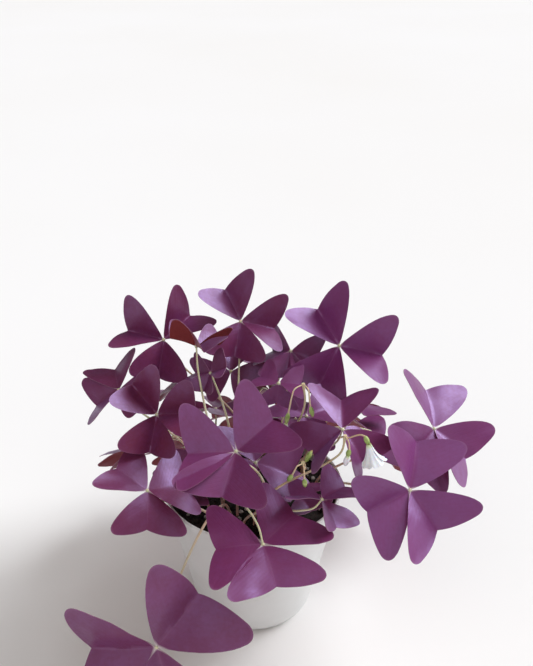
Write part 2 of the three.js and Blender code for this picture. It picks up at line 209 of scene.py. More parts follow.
def pot_profile():
    """Out along the base, round the foot, up the wall, over the lip and back down inside."""
    wall_rise = POT_HEIGHT - POT_SHOULDER_HEIGHT
    slope = (RIM_RADIUS - POT_SHOULDER_RADIUS) / wall_rise
    lip = POT_WALL / 2
    foot_control = POT_SHOULDER_RADIUS - slope * POT_SHOULDER_HEIGHT
    profile = [(0, 0), (POT_BASE_RADIUS * 0.5, 0), (POT_BASE_RADIUS, 0)]
    profile += bend(profile[-1], (foot_control, 0), (POT_SHOULDER_RADIUS, POT_SHOULDER_HEIGHT), FOOT_STEPS)
    heights = [POT_SHOULDER_HEIGHT + wall_rise * i / WALL_STEPS for i in range(1, WALL_STEPS)]
    wall = [(POT_SHOULDER_RADIUS + slope * (h - POT_SHOULDER_HEIGHT), h) for h in heights]
    profile += wall
    lip_centre = (RIM_RADIUS - lip, POT_HEIGHT - lip)
    for i in range(LIP_STEPS + 1):
        angle = math.pi * i / LIP_STEPS
        profile.append((lip_centre[0] + lip * math.cos(angle), lip_centre[1] + lip * math.sin(angle)))
    profile += [(radius - POT_WALL, height) for radius, height in wall[::-1]]
    profile.append((POT_SHOULDER_RADIUS - POT_WALL, POT_SHOULDER_HEIGHT))
    inner_control, inner_end = (foot_control - POT_WALL, POT_FLOOR), (POT_BASE_RADIUS - POT_WALL, POT_FLOOR)
    profile += bend(profile[-1], inner_control, inner_end, INNER_FOOT_STEPS)
    return profile + [(0, POT_FLOOR)]


def glaze_finish():
    material, tree, shader = finish_of("white_glaze")
    broad, fine = unevenness(tree, 18.0, 160.0)
    tree.links.new(blended(tree, broad, GLAZE_LIGHT, GLAZE_SHADE), shader.inputs["Base Color"])
    tree.links.new(spread(tree, fine, 0, 1, 0.30, 0.42), shader.inputs["Roughness"])
    bumped(tree, shader, broad, 0.00025)
    return material


pot = piece("pot_shell", *lathed(pot_profile(), ROUND_SIDES), [glaze_finish()], crease=60)
stands_for(pot, "pot")


# ---------------------------------------------------------------- soil
# Dark, damp potting mix that fills the pot to just below the rim: a packed bed with loose crumbs
# of peat and bark on top, and white grains of perlite mixed through it.
SOIL_RADIUS, SOIL_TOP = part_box("soil")[1].x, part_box("soil")[1].z
SOIL_GAP = 0.0003
SOIL_RINGS, SOIL_SECTORS = 34, 110
BED_ROUGHNESS = 0.0016
BED_LUMPS = ((90, 1.0), (260, 0.6), (700, 0.3))    # pitch and share of each size of lump
BED_EDGE = 0.004                                   # the plug's side stops this far below its top
CRUMBS, CRUMB_SIZES = 330, (0.0008, 0.0026)
PERLITE, PERLITE_SIZES = 75, (0.0007, 0.0017)
GRAIN_MARGIN, GRAIN_LIFT = 0.004, 0.3
GRAIN_STRETCH, GRAIN_KNOBS, GRAIN_KNOB_PITCH = (0.65, 1.2), 0.45, 1.4
PEAT_DARK, PEAT_LIGHT, PERLITE_WHITE = "#16110f", "#43362f", "#d8d5cf"
soil_random = random.Random(11)


def bed_height(x, y):
    place = Vector((x, y, 0))
    lumps = sum(share * noise.noise(place * pitch) for pitch, share in BED_LUMPS)
    return SOIL_TOP - BED_ROUGHNESS + BED_ROUGHNESS * lumps


def soil_bed():
    """A closed plug: rough on top, and following the inside of the pot below."""
    inset, lowest = POT_WALL + SOIL_GAP, POT_FLOOR + SOIL_GAP
    wall = [(radius, height) for radius, height in pot_profile()[OUTER_WALL] if height < SOIL_TOP - BED_EDGE]
    profile = [(0, lowest)] + [(radius - inset, max(height, lowest)) for radius, height in wall]
    tops = [(SOIL_RADIUS * (SOIL_RINGS - i) / SOIL_RINGS, SOIL_TOP) for i in range(SOIL_RINGS)]
    points, faces = lathed(profile + tops + [(0, SOIL_TOP)], SOIL_SECTORS)
    for p in points:
        if p.z >= SOIL_TOP - 1e-6:
            p.z = bed_height(p.x, p.y)
    return points, faces


def lump(at, size):
    """A knobbly grain: a round ball pushed in and out."""
    ball = bmesh.new()
    bmesh.ops.create_icosphere(ball, subdivisions=2, radius=size)
    shift = Vector((at.x, at.y, size)) * 1000
    stretch = Vector([soil_random.uniform(*GRAIN_STRETCH) for _ in range(3)])
    points = []
    for vertex in ball.verts:
        knob = noise.noise(vertex.co / size * GRAIN_KNOB_PITCH + shift)
        points.append(at + vertex.co * stretch * (1 + GRAIN_KNOBS * knob))
    faces = [tuple(v.index for v in f.verts) for f in ball.faces]
    ball.free()
    return points, faces


def soil_piece():
    """The bed with its crumbs and perlite, and for each point whether it is perlite."""
    points, faces = soil_bed()
    kinds = [0.0] * len(points)
    for count, sizes, kind in ((CRUMBS, CRUMB_SIZES, 0.0), (PERLITE, PERLITE_SIZES, 1.0)):
        for _ in range(count):
            radius = (SOIL_RADIUS - GRAIN_MARGIN) * math.sqrt(soil_random.random())
            angle = soil_random.uniform(0, 2 * math.pi)
            size = soil_random.uniform(*sizes)
            x, y = radius * math.cos(angle), radius * math.sin(angle)
            at = Vector((x, y, bed_height(x, y) + GRAIN_LIFT * size))
            grain, sides = lump(at, size)
            faces += [tuple(i + len(points) for i in f) for f in sides]
            points += grain
            kinds += [kind] * len(grain)
    return points, faces, kinds


def soil_finish():
    material, tree, shader = finish_of("potting_mix")
    broad, fine = unevenness(tree, 160.0, 900.0)
    perlite = node(tree, "Attribute", attribute_name="perlite").outputs["Fac"]
    peat = blended(tree, fine, PEAT_DARK, PEAT_LIGHT)
    damp = blended(tree, broad, peat, PEAT_DARK)
    tree.links.new(blended(tree, perlite, damp, PERLITE_WHITE), shader.inputs["Base Color"])
    tree.links.new(spread(tree, broad, 0, 1, 0.75, 0.95), shader.inputs["Roughness"])
    bumped(tree, shader, fine, 0.0004)
    return material


soil_points, soil_faces, soil_kinds = soil_piece()
soil_values = {"perlite": soil_kinds}
soil = piece("soil_bed", soil_points, soil_faces, [soil_finish()], values=soil_values, crease=70)
stands_for(soil, "soil")


# ---------------------------------------------------------------- leaves
# Each leaf is three leaflets on one pale hub, carried by its own juicy stalk straight from the
# soil. A leaflet is a thin broad heart-ended blade, folded in a shallow valley along its midrib:
# wine and violet above with a soft waxy bloom, and brown-red below, with a fine pale margin.
LEAF_ROOM = 0.00035            # half of the CAD blade's thickness
BLADE_THICKNESS = 0.00034
LEAST_BLADE_AREA = 40e-6
FLANK_ROWS, LOBE_ROWS, END_ROWS = 9, 8, 9
ROWS = FLANK_ROWS + LOBE_ROWS + END_ROWS       # from the hub round to the notch
COLUMNS, COLUMN_EASE = 7, 1.25                 # across each half blade, closer together at the midrib
FOLD_GAIN, FOLD_STEPS = 1.22, 12               # blades fold a little deeper than their CAD solids
CREASE_WIDTH, FOLD_AT_CREASE, FOLD_EASING = 0.035, 1.12, 0.22
RIPPLE, RIPPLE_PITCH = 0.045, 1.9              # these and the next two are for a leaflet 1 long
FLUTTER, FLUTTER_PITCH = 0.012, 6.0
ARCH, DROOP, DROOP_FROM = 0.03, 0.035, 0.55
STALK_ROOT, STALK_TIP = 0.00095, 0.00058
STALK_SIDES, STALK_RINGS = 12, 44
STALK_BELOW_SOIL, CURVE_STEPS = 0.005, 12
HUB_RADIUS = 0.0012
PAINTED_SHADE_TONE, PAINTED_WINDOW_LIGHT, TONE_SPREAD = 0.05, 0.70, 0.15    # painted light: leaves drawn paler towards the lit window side, +X, and darker towards the shaded side, with a random spread of their own tone
PAINTED_SHADE_END, PAINTED_LIGHT_REACH = 0.10, 0.22
VEIN_PITCH, VEIN_WANDER = 75.0, 0.1
MOTTLE_SCALE, GRAIN_SCALE = 70.0, 420.0
MOTTLE_SHARE, VEIN_SHARE, MIDRIB_SHARE, MARGIN_SHARE = 0.16, 0.08, 0.14, 0.30
WINE, VIOLET, BLOOM = "#660e20", "#7e2c68", "#84508e"
UNDER_RED, UNDER_MAGENTA = "#7a2c22", "#8a3a34"
MARGIN_PALE, MARGIN_DARK, HUB_PALE = "#9c6d86", "#8a5a78", "#e6dccb"
SHEEN_VIOLET, GLOSS_VIOLET, COAT_PALE = "#b7a2f2", "#cbb8ff", "#f0eaff"
STALK_GREEN, STALK_PINK = "#cfcfa6", "#c98f8c"


def read_solid(node_name):
    """A CAD node's mesh with its coinciding corners joined."""
    solid = bmesh.new()
    solid.from_mesh(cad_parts[node_name].data)
    bmesh.ops.remove_doubles(solid, verts=solid.verts, dist=1e-5)
    solid.normal_update()
    return solid


def blade_sides(solid):
    """The solid's large flat sides: each half of a leaflet, above and below."""
    sides = []
    for face in solid.faces:
        area, centre = face.calc_area(), face.calc_center_median()
        if area < 1e-7:
            continue
        for side in sides:
            level = abs((centre - side["at"]).dot(side["normal"])) < 6e-5
            if level and side["normal"].dot(face.normal) > 0.9995:
                break
        else:
            side = {"normal": face.normal.copy(), "at": centre, "corners": set(), "area": 0, "sum": Vector()}
            sides.append(side)
        side["area"] += area
        side["sum"] += centre * area
        side["corners"].update(v.index for v in face.verts)
    return [dict(s, centre=s["sum"] / s["area"]) for s in sides if s["area"] > LEAST_BLADE_AREA]


def midribs_of(solid):
    """Every pair of flat sides that meet in a valley, as its lowest line might be a midrib: the two
    sides' numbers, the far end of the line, its direction, the way up from it and the fold."""
    solid.verts.ensure_lookup_table()
    sides = blade_sides(solid)
    middle = sum((s["centre"] for s in sides), Vector()) / len(sides)
    found = []
    for (i, a), (j, b) in combinations(enumerate(sides), 2):
        shared = [solid.verts[k].co for k in a["corners"] & b["corners"]]
        if not shared or a["normal"].dot(b["centre"] - a["centre"]) < 0:
            continue
        notch = max(shared, key=lambda p: (p - middle).length)
        along = a["normal"].cross(b["normal"]).normalized()
        along *= math.copysign(1, along.dot(notch - (a["centre"] + b["centre"]) / 2))
        up = (a["normal"] + b["normal"]).normalized()
        fold = 0.5 * math.acos(min(1, a["normal"].dot(b["normal"])))
        found.append(({i, j}, notch - up * LEAF_ROOM, along, up, fold))
    return found


def leaf_pose(solid):
    """A leaf's hub, and for each leaflet its midrib, normal, length and fold. The three midribs are
    the ones that meet in a point and are equally long and equally folded."""
    best, least = None, math.inf
    for three in combinations(midribs_of(solid), 3):
        if len(set.union(*(rib[0] for rib in three))) < 6:
            continue
        system, target = np.zeros((3, 3)), np.zeros(3)
        for _, notch, along, _, _ in three:
            across = np.eye(3) - np.outer(along, along)
            system += across
            target += across @ np.array(notch)
        hub = Vector(np.linalg.lstsq(system, target, rcond=None)[0])
        lengths = [(rib[1] - hub).length for rib in three]
        folds = [rib[4] for rib in three]
        missed = sum((rib[1] - hub).cross(rib[2]).length for rib in three)
        misfit = max(lengths) - min(lengths) + missed + (max(folds) - min(folds)) * max(lengths)
        if misfit < least:
            leaflets = [((r[1] - hub).normalized(), r[3], length, r[4]) for r, length in zip(three, lengths)]
            best, least = (hub, leaflets), misfit
    return best


def ring_centres(solid, seeds):
    """The centres of a CAD tube's rings, from the ring of seed corners on, while the rings stay whole."""
    ring, seen, centres = list(seeds), set(seeds), []
    while len(ring) == len(seeds):
        centres.append(sum((v.co for v in ring), Vector()) / len(ring))
        ring = list({e.other_vert(v) for v in ring for e in v.link_edges} - seen)
        seen.update(ring)
    return centres


def stalk_line(solid, end):
    """The line of a stalk from where it leaves the soil to its end."""
    root = [v for v in solid.verts
            if abs(v.co.z - SOIL_TOP - SOIL_GAP) < 0.0002 and v.co.xy.length < SOIL_RADIUS - 0.004]
    centres = ring_centres(solid, root)
    below = centres[0] - Vector((0, 0, STALK_BELOW_SOIL))
    return [below] + centres + [end]


def smooth_line(knots, count):
    """Evenly spread points on a smooth curve through the knots."""
    ends = [knots[0] * 2 - knots[1]] + list(knots) + [knots[-1] * 2 - knots[-2]]
    fine = []
    for a, b, c, d in zip(ends, ends[1:], ends[2:], ends[3:]):
        for step in range(CURVE_STEPS):
            t = step / CURVE_STEPS
            fine.append(0.5 * (2 * b + (c - a) * t + (2 * a - 5 * b + 4 * c - d) * t * t
                               + (3 * b - a - 3 * c + d) * t ** 3))
    fine.append(Vector(knots[-1]))
    run = np.concatenate([[0], np.cumsum([(q - p).length for p, q in zip(fine, fine[1:])])])
    where = np.linspace(0, run[-1], count)
    return [Vector([np.interp(w, run, [p[k] for p in fine]) for k in range(3)]) for w in where]


def swept(line, radius_at, sides):
    """A closed round skin along a line. radius_at takes the share run and the angle round."""
    points, faces = [], []
    forward = (line[1] - line[0]).normalized()
    side = forward.orthogonal().normalized()
    for i, at in enumerate(line):
        ahead = (line[min(i + 1, len(line) - 1)] - line[max(i - 1, 0)]).normalized()
        side = (forward.rotation_difference(ahead) @ side).normalized()
        side = (side - ahead * side.dot(ahead)).normalized()
        forward = ahead
        other = ahead.cross(side)
        for j in range(sides):
            angle = 2 * math.pi * j / sides
            radius = radius_at(i / (len(line) - 1), angle)
            points.append(at + side * radius * math.cos(angle) + other * radius * math.sin(angle))
    for i in range(len(line) - 1):
        for j in range(sides):
            k = (j + 1) % sides
            faces.append((i * sides + j, i * sides + k, (i + 1) * sides + k, (i + 1) * sides + j))
    points += [line[0], line[-1]]
    last = (len(line) - 1) * sides
    for j in range(sides):
        k = (j + 1) % sides
        faces.append((len(points) - 2, k, j))
        faces.append((len(points) - 1, last + j, last + k))
    return points, faces


def cubic(a, b, c, d, steps):
    """Points of a cubic curve from just after a to d."""
    shares = [(i + 1) / steps for i in range(steps)]
    return [np.array(a) * (1 - t) ** 3 + 3 * np.array(b) * t * (1 - t) ** 2
            + 3 * np.array(c) * t * t * (1 - t) + np.array(d) * t ** 3 for t in shares]


def margin_line():
    """Half a leaflet's edge from the hub to the notch, as (along, out) for a leaflet 1 long."""
    flank = cubic((0, 0), (0.25, 0.43), (0.66, 0.93), (0.95, 1.045), FLANK_ROWS)
    lobe = cubic((0.95, 1.045), (1.09, 1.10), (1.17, 1.00), (1.172, 0.86), LOBE_ROWS)
    end = cubic((1.172, 0.86), (1.175, 0.60), (1.12, 0.24), (1.0, 0.0), END_ROWS)
    return flank + lobe + end


MARGIN = margin_line()


def folded(out, fold):
    """A point that far out from the midrib, across a half blade that rises from a tight crease and
    then eases back level towards its edge: (sideways, up)."""
    steps = np.linspace(0, out, FOLD_STEPS)
    angles = FOLD_GAIN * fold * np.tanh(steps / CREASE_WIDTH) * (FOLD_AT_CREASE - FOLD_EASING * steps)
    width = out / FOLD_STEPS
    return float(np.cos(angles).sum() * width), float(np.sin(angles).sum() * width)


def leaflet(hub, along, up, size, fold, wave, points, faces, finish_index, values):
    """Adds one closed leaflet to the lists: upper skin, lower skin and margin."""
    across = up.cross(along).normalized()
    up = along.cross(across)

    def surface(row, column):
        share = row / ROWS
        edge = MARGIN[row - 1] if row else (0, 0)
        reach = (abs(column) / COLUMNS) ** COLUMN_EASE
        run = share + (edge[0] - share) * reach
        out = edge[1] * reach
        sideways, lift = folded(out, fold)
        place = Vector((run, math.copysign(out, column), 0))
        ripple = noise.noise(place * RIPPLE_PITCH + Vector((0, 0, wave)))
        flutter = noise.noise(place * FLUTTER_PITCH + Vector((0, 0, wave + 9)))
        lift += RIPPLE * ripple * min(1, out * 2.5) + FLUTTER * flutter * out
        lift += ARCH * math.sin(math.pi * min(run, 1)) - DROOP * max(run - DROOP_FROM, 0)
        at = along * run + across * math.copysign(sideways, column) + up * lift
        return hub + at * size, share, reach

    index = {}
    for skin in (1, -1):
        for row in range(ROWS + 1):
            for column in range(-COLUMNS, COLUMNS + 1):
                if row in (0, ROWS) and column:
                    continue
                at, share, reach = surface(row, column)
                index[skin, row, column] = len(points)
                points.append(at + up * skin * BLADE_THICKNESS / 2)
                values["run"].append(share)
                values["out"].append(reach)
        for column in range(-COLUMNS, COLUMNS + 1):
            index[skin, 0, column] = index[skin, 0, 0]
            index[skin, ROWS, column] = index[skin, ROWS, 0]
    for skin in (1, -1):
        for row in range(ROWS):
            for column in range(-COLUMNS, COLUMNS):
                corners = [index[skin, row, column], index[skin, row, column + 1],
                           index[skin, row + 1, column + 1], index[skin, row + 1, column]]
                faces.append(tuple(dict.fromkeys(corners)))
                finish_index.append(0 if skin > 0 else 1)
    for column in (-COLUMNS, COLUMNS):
        for row in range(ROWS):
            faces.append((index[1, row, column], index[1, row + 1, column],
                          index[-1, row + 1, column], index[-1, row, column]))
            finish_index.append(2)


def leaf_marks_group():
    """What a blade's own values give: veins, pale margin, hub end and midrib, mottling, and its tone with
    painted light, paler on leaves towards the window side.
    """
    tree = bpy.data.node_groups.new("leaf_marks", "ShaderNodeTree")
    outputs = ("Veins", "Margin", "Hub End", "Midrib", "Mottle", "Tone And Painted Light")
    for label in outputs:
        tree.interface.new_socket(label, in_out="OUTPUT", socket_type="NodeSocketFloat")
    out = tree.nodes.new("NodeGroupOutput")
    run = node(tree, "Attribute", attribute_name="run").outputs["Fac"]
    edge = node(tree, "Attribute", attribute_name="out").outputs["Fac"]
    tone_and_painted_light = node(tree, "Attribute", attribute_name="tone_and_painted_light").outputs["Fac"]
    place = node(tree, "TexCoord").outputs["Object"]
    broad = node(tree, "TexNoise", Vector=place, Scale=MOTTLE_SCALE, Detail=2.0).outputs["Fac"]
    fine = node(tree, "TexNoise", Vector=place, Scale=GRAIN_SCALE, Detail=3.0).outputs["Fac"]
    wandering = maths(tree, "MULTIPLY_ADD", broad, VEIN_WANDER, run)
    wave = maths(tree, "SINE", maths(tree, "MULTIPLY", wandering, VEIN_PITCH))
    tree.links.new(spread(tree, wave, 0.55, 1.0), out.inputs["Veins"])
    tree.links.new(spread(tree, edge, 0.955, 1.0), out.inputs["Margin"])
    tree.links.new(spread(tree, run, 0.055, 0.01), out.inputs["Hub End"])
    tree.links.new(spread(tree, edge, 0.03, 0.0), out.inputs["Midrib"])
    tree.links.new(spread(tree, maths(tree, "ADD", broad, fine), 0.75, 1.25), out.inputs["Mottle"])
    tree.links.new(tone_and_painted_light, out.inputs["Tone And Painted Light"])
    return tree


LEAF_MARKS = leaf_marks_group()


def blade_finish(name, dark, light, bloom, sheen, gloss, coat, roughness):
    """The upper or lower skin: dark to light by the leaf's tone and painted light (paler on leaves towards
    the window side, darker on the shaded side), then mottled, veined and edged.
    """
    material, tree, shader = finish_of(name)
    marks = tree.nodes.new("ShaderNodeGroup")
    marks.node_tree = LEAF_MARKS
    # painted light: the ground colour goes from dark to light with the leaf's place towards the window side,
    # plus its own random tone
    ground = blended(tree, marks.outputs["Tone And Painted Light"], dark, light)
    layers = (("Mottle", MOTTLE_SHARE, bloom), ("Veins", VEIN_SHARE, dark),
              ("Midrib", MIDRIB_SHARE, MARGIN_PALE), ("Margin", MARGIN_SHARE, MARGIN_PALE))
    colour = ground
    for label, share, over in layers:
        colour = blended(tree, maths(tree, "MULTIPLY", marks.outputs[label], share), colour, over)
    colour = blended(tree, marks.outputs["Hub End"], colour, HUB_PALE)
    tree.links.new(colour, shader.inputs["Base Color"])
    uneven_roughness = spread(tree, marks.outputs["Mottle"], 0, 1, roughness + 0.06, roughness - 0.06)
    tree.links.new(uneven_roughness, shader.inputs["Roughness"])
    shader.inputs["Sheen Weight"].default_value = sheen
    shader.inputs["Sheen Roughness"].default_value = 0.5
    shader.inputs["Sheen Tint"].default_value = paint(SHEEN_VIOLET)
    shader.inputs["Specular IOR Level"].default_value = gloss
    shader.inputs["Specular Tint"].default_value = paint(GLOSS_VIOLET)
    shader.inputs["Coat Weight"].default_value = coat
    shader.inputs["Coat Roughness"].default_value = 0.45
    shader.inputs["Coat Tint"].default_value = paint(COAT_PALE)
    bumped(tree, shader, marks.outputs["Veins"], -0.00003)
    return material


def margin_finish():
    material, tree, shader = finish_of("leaf_margin")
    broad, fine = unevenness(tree, 120.0, 900.0)
    tree.links.new(blended(tree, broad, MARGIN_DARK, MARGIN_PALE), shader.inputs["Base Color"])
    tree.links.new(spread(tree, fine, 0, 1, 0.4, 0.55), shader.inputs["Roughness"])
    return material


def stalk_finish(name, low_colour, high_colour, streak):
    """A juicy stalk: flushed near the soil, pale higher up, and unevenly streaked."""
    material, tree, shader = finish_of(name)
    run = node(tree, "Attribute", attribute_name="run").outputs["Fac"]
    broad, fine = unevenness(tree, 60.0, 500.0)
    flushed = blended(tree, spread(tree, run, 0.0, 0.75), low_colour, high_colour)
    streaked = blended(tree, maths(tree, "MULTIPLY", broad, 0.35), flushed, streak)
    tree.links.new(streaked, shader.inputs["Base Color"])
    tree.links.new(spread(tree, fine, 0, 1, 0.32, 0.5), shader.inputs["Roughness"])
    shader.inputs["Subsurface Weight"].default_value = 0.15
    shader.inputs["Subsurface Scale"].default_value = 0.002
    bumped(tree, shader, fine, 0.00005)
    return material


def stalk_radius(run, angle):
    return STALK_ROOT + (STALK_TIP - STALK_ROOT) * run


def runs_of(points, sides, rings):
    """How far along each point of a swept skin lies, from 0 to 1."""
    return [min(1, (i // sides) / (rings - 1)) for i in range(len(points) - 2)] + [0, 1]


def leaf_piece(node_name, finishes, leaf_random):
    """One whole leaf: three leaflets, its stalk and the hub between them."""
    solid = read_solid(node_name)
    hub, leaflets = leaf_pose(solid)
    points, faces, finish_index = [], [], []
    # painted light and shade: the tone rises with the hub's place towards the window side, +X, so leaves
    # there are drawn paler and those on the shaded side darker; only the random spread is the leaves' own
    painted_window_light = (hub.x + PAINTED_SHADE_END) / PAINTED_LIGHT_REACH
    tone_and_painted_light = PAINTED_SHADE_TONE + PAINTED_WINDOW_LIGHT * painted_window_light + leaf_random.uniform(-TONE_SPREAD, TONE_SPREAD)
    values = {"run": [], "out": []}
    for along, up, size, fold in leaflets:
        wave = leaf_random.uniform(0, 50)
        leaflet(hub, along, up, size, fold, wave, points, faces, finish_index, values)
    line = smooth_line(stalk_line(solid, hub), STALK_RINGS)
    stalk_points, stalk_faces = swept(line, stalk_radius, STALK_SIDES)
    ball = bmesh.new()
    bmesh.ops.create_uvsphere(ball, u_segments=14, v_segments=9, radius=HUB_RADIUS)
    hub_points = [hub + v.co for v in ball.verts]
    hub_faces = [tuple(v.index for v in f.verts) for f in ball.faces]
    ball.free()
    runs = runs_of(stalk_points, STALK_SIDES, STALK_RINGS)
    for new_points, new_faces, new_runs in ((stalk_points, stalk_faces, runs),
                                            (hub_points, hub_faces, [1.0] * len(hub_points))):
        faces += [tuple(i + len(points) for i in f) for f in new_faces]
        points += new_points
        finish_index += [3] * len(new_faces)
        values["run"] += new_runs
        values["out"] += [0.5] * len(new_points)
    values["tone_and_painted_light"] = [min(1, max(0, tone_and_painted_light))] * len(points)
    solid.free()
    return piece(node_name + "_blades", points, faces, finishes, finish_index, values)


leaf_finishes = [
    blade_finish("leaf_upper_skin", WINE, VIOLET, BLOOM, sheen=0.16, gloss=1.0, coat=0.50, roughness=0.42),
    blade_finish("leaf_under_skin", UNDER_RED, UNDER_MAGENTA, UNDER_RED,
                 sheen=0.10, gloss=0.40, coat=0.0, roughness=0.45),
    margin_finish(),
    stalk_finish("leaf_stalk", STALK_PINK, STALK_GREEN, HUB_PALE),
]
leaf_random = random.Random(5)
for leaf_name in sorted(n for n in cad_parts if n.startswith("leaf_")):
    stands_for(leaf_piece(leaf_name, leaf_finishes, leaf_random), leaf_name)


# ---------------------------------------------------------------- flower stalks
# Thin pale stalks that rise from the soil between the leaves, each to one small knot from which
# the flowers' own thin stalks spread.
FLOWER_STALK_ROOT, FLOWER_STALK_TIP = 0.0009, 0.0006
KNOT_RADIUS = 0.0022
KNOT_WIDTH = 0.0013
KNOT_LAP = 0.0008                          # the stem runs this far past the knot's middle
KNOT_RUN, KNOT_TOP_FROM, KNOT_TOP_SWELLING = 0.035, 0.985, 0.75
STEM_PINK, STEM_STRAW, STEM_PALE = "#d2a08e", "#cdbf95", "#e9d9c6"
flower_stalk_finish = stalk_finish("flower_stalk", STEM_PINK, STEM_STRAW, STEM_PALE)


def flower_stalk_piece(node_name):
    """A stem and the middle of its knot."""
    solid = read_solid(node_name)
    knot = max((v.co for v in solid.verts), key=lambda p: p.z) - Vector((0, 0, KNOT_RADIUS))
    line = smooth_line(stalk_line(solid, knot + Vector((0, 0, KNOT_LAP))), STALK_RINGS)

    def radius_at(run, angle):
        swelling = math.exp(-(((1 - run) / KNOT_RUN) ** 2)) if run < KNOT_TOP_FROM else KNOT_TOP_SWELLING
        plain = FLOWER_STALK_ROOT + (FLOWER_STALK_TIP - FLOWER_STALK_ROOT) * run
        return plain + (KNOT_WIDTH - plain) * swelling

    points, faces = swept(line, radius_at, STALK_SIDES)
    values = {"run": runs_of(points, STALK_SIDES, STALK_RINGS)}
    solid.free()
    return knot, piece(node_name + "_stem", points, faces, [flower_stalk_finish], values=values)


knots = {}
for stalk_name in sorted(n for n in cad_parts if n.startswith("flower_stalk_")):
    knots[stalk_name[-1]], stem = flower_stalk_piece(stalk_name)
    stands_for(stem, stalk_name)


# ---------------------------------------------------------------- pedicels and calyxes
# Each flower hangs from a thread-thin pedicel that arches out of the knot, and sits in a green
# calyx of five narrow sepals. A bud that hasn't coloured yet is all calyx.
PEDICEL_RADIUS, PEDICEL_SWELLING = 0.00042, 0.3
PEDICEL_SIDES, PEDICEL_RINGS = 8, 22
CAD_PEDICEL_SIDES = 5
CALYX_RADIUS = 0.0016
SEPAL_RIB, SEPAL_TWIST = 0.13, 1.2
SEPALS = 5
CALYX_RINGS, CALYX_SIDES = 18, 30
SEPAL_GREEN, SEPAL_TIP, SEPAL_PALE = "#7f9a45", "#b0643f", "#b8c57e"


def sepal_finish():
    material, tree, shader = finish_of("sepals")
    run = node(tree, "Attribute", attribute_name="run").outputs["Fac"]
    broad, fine = unevenness(tree, 300.0, 1200.0)
    green = blended(tree, broad, SEPAL_GREEN, SEPAL_PALE)
    tipped = blended(tree, spread(tree, run, 0.82, 1.0), green, SEPAL_TIP)
    tree.links.new(tipped, shader.inputs["Base Color"])
    tree.links.new(spread(tree, fine, 0, 1, 0.4, 0.6), shader.inputs["Roughness"])
    bumped(tree, shader, fine, 0.00006)
    return material


def calyx_and_pedicel(node_name, knot):
    """The line of the CAD pedicel, from its knot to where its calyx starts, and the calyx's tip."""
    solid = read_solid(node_name)
    seeds = sorted(solid.verts, key=lambda v: (v.co - knot).length)[:CAD_PEDICEL_SIDES]
    centres = ring_centres(solid, seeds)
    seen, ring = set(seeds), list(seeds)
    while ring:
        last = ring
        ring = list({e.other_vert(v) for v in ring for e in v.link_edges} - seen)
        seen.update(ring)
    tip = sum((v.co for v in last), Vector()) / len(last)
    solid.free()
    return [knot] + centres, tip


def calyx_radius(run, angle):
    """Swells from the pedicel and closes in to the tip, ribbed by its overlapping sepals."""
    swell = math.sin(math.pi * min(1, run * 0.92 + 0.10)) ** 0.7
    rib = 1 + SEPAL_RIB * abs(math.cos(SEPALS * angle / 2 + SEPAL_TWIST * run))
    return max(CALYX_RADIUS * swell * rib * 0.9, PEDICEL_RADIUS * (1 - run))


def pedicel_radius(run, angle):
    return PEDICEL_RADIUS * (1 + PEDICEL_SWELLING * run)


def pedicel_piece(node_name, knot, finishes):
    """A pedicel with its calyx, and the calyx's tip."""
    pedicel_line, tip = calyx_and_pedicel(node_name, knot)
    start = pedicel_line[-1]
    thread = smooth_line(pedicel_line, PEDICEL_RINGS)
    points, faces = swept(thread, pedicel_radius, PEDICEL_SIDES)
    index = [0] * len(faces)
    runs = [0.5] * len(points)
    cup_line = smooth_line([start, start.lerp(tip, 0.5), tip], CALYX_RINGS)
    cup_points, cup_faces = swept(cup_line, calyx_radius, CALYX_SIDES)
    faces += [tuple(i + len(points) for i in f) for f in cup_faces]
    index += [1] * len(cup_faces)
    runs += runs_of(cup_points, CALYX_SIDES, CALYX_RINGS)
    points += cup_points
    return tip, piece(node_name + "_stem", points, faces, finishes, index, {"run": runs}, crease=80)


pedicel_finishes = [flower_stalk_finish, sepal_finish()]
calyx_tips = {}
for pedicel_name in sorted(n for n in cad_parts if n.endswith("_pedicel")):
    flower_name = pedicel_name.removesuffix("_pedicel")
    knot = knots[flower_name.removeprefix("flower_")[0]]
    calyx_tips[flower_name], stem = pedicel_piece(pedicel_name, knot, pedicel_finishes)
    stands_for(stem, pedicel_name)


# ---------------------------------------------------------------- petals
# Five white petals, faintly flushed, that overlap one way round: a flared nodding
# funnel in the open flower, and a tight twisted furl in the buds.
PETALS = 5
PETAL_THICKNESS = 0.00022
PETAL_LAP = 0.0012                         # petals start this far down inside their calyx
PETAL_ROWS, PETAL_COLUMNS = 16, 10
PETAL_HALF_ANGLE = math.radians(47)
BUD_RINGS, BUD_SIDES = 22, 40
FURL_DEPTH, FURL_TWIST = 0.16, 2.2
THROAT, CONE, FLARE = 0.16, 0.30, 0.54     # the funnel's shape, as shares of its width
PETAL_WAVE, PETAL_OVERLAP = 0.05, 0.045
OPEN_FLOWER_WIDTH = 0.010
FAN_EDGES = 9                              # a CAD corner with this many edges is an end of the funnel
PETAL_WHITE, PETAL_FLUSH, THROAT_GREEN = "#f4f5f7", "#d9d3e6", "#c9d49a"


def petal_finish():
    material, tree, shader = finish_of("petals")
    run = node(tree, "Attribute", attribute_name="run").outputs["Fac"]
    broad, fine = unevenness(tree, 250.0, 1600.0)
    flushed = blended(tree, maths(tree, "MULTIPLY", broad, 0.5), PETAL_WHITE, PETAL_FLUSH)
    throat = blended(tree, spread(tree, run, 0.22, 0.0), flushed, THROAT_GREEN)
    tree.links.new(throat, shader.inputs["Base Color"])
    tree.links.new(spread(tree, fine, 0, 1, 0.45, 0.6), shader.inputs["Roughness"])
    shader.inputs["Subsurface Weight"].default_value = 0.2
    shader.inputs["Subsurface Scale"].default_value = 0.002
    bumped(tree, shader, fine, 0.00004)
    return material


